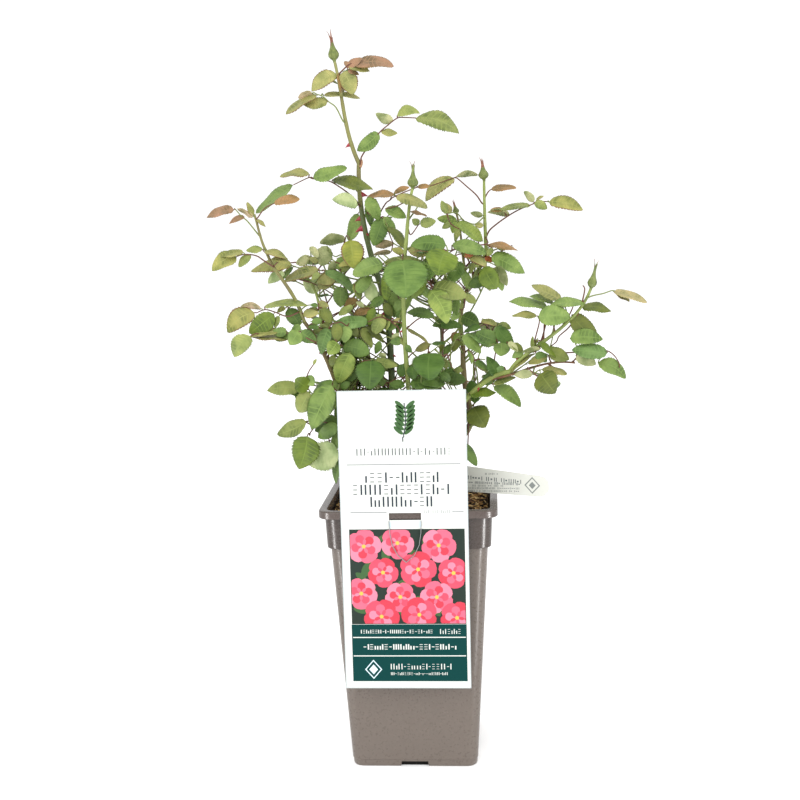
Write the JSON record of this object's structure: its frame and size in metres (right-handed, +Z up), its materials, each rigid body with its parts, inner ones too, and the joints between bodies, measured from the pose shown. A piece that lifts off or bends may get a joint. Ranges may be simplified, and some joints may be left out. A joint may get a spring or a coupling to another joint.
{
  "type": "potted rose bush",
  "caption": "Young rose bush with arching leafy canes and closed buds, standing in a deep square nursery pot with a hanging label.",
  "frame": {"origin": "middle of the pot's underside, on the surface that the pot stands on", "axes": "+Z up along the plant's height, -Y to the side of the pot that carries the label"},
  "size_m": [0.3986, 0.238, 0.6719],
  "materials": {
    "pot_plastic": "satin moulded taupe plastic",
    "compost": "loose bark and coir chips",
    "label_card": "coated white card",
    "stem_wood": "rough bark",
    "cane_bark": "smooth green-brown bark with thorns",
    "young_cane": "smooth green bark",
    "leaf": "matt green leaves",
    "young_leaf": "soft bronze-green leaves",
    "deep_leaf": "matt deep green leaves",
    "bud": "closed buds with red-tipped sepals"
  },
  "bodies": {
    "root": {"nursery_pot": "pot_plastic", "potting_compost": "compost", "plant_label": "label_card", "stem_tag": "label_card", "grafted_stem": "stem_wood", "main_cane": "cane_bark", "right_cane_lower": "cane_bark", "right_arch_lower": "cane_bark", "left_arch_lower": "cane_bark", "back_left_cane": "cane_bark", "back_right_cane": "cane_bark", "centre_cane": "young_cane", "right_cane_upper": "young_cane", "right_cane_fork": "young_cane", "right_arch_upper": "young_cane", "right_low_cane": "young_cane", "left_arch_upper": "young_cane", "left_inner_cane": "young_cane", "low_left_shoot": "young_cane", "top_spray": "young_leaf", "left_tip_spray": "young_leaf", "right_far_spray": "young_leaf", "low_left_mass": "deep_leaf", "low_left_skirt": "deep_leaf", "low_middle_left_mass": "deep_leaf", "low_middle_right_mass": "deep_leaf", "right_inner_mass": "deep_leaf", "low_right_mass": "deep_leaf", "low_right_skirt": "deep_leaf", "back_left_low_mass": "deep_leaf", "back_right_low_mass": "deep_leaf", "upper_right_spray": "leaf", "upper_left_spray": "leaf", "left_upper_spray": "leaf", "left_inner_mass": "leaf", "left_front_mass": "leaf", "upper_middle_mass": "leaf", "front_heart_mass": "leaf", "right_heart_mass": "leaf", "right_upper_spray": "leaf", "right_upper_mass": "leaf", "right_tip_spray": "leaf", "right_middle_mass": "leaf", "right_arch_upper_mass": "leaf", "right_arch_low_mass": "leaf", "right_low_spray": "leaf", "back_left_upper_mass": "leaf", "back_middle_mass": "leaf", "back_right_upper_mass": "leaf"}
  },
  "joints": []
}
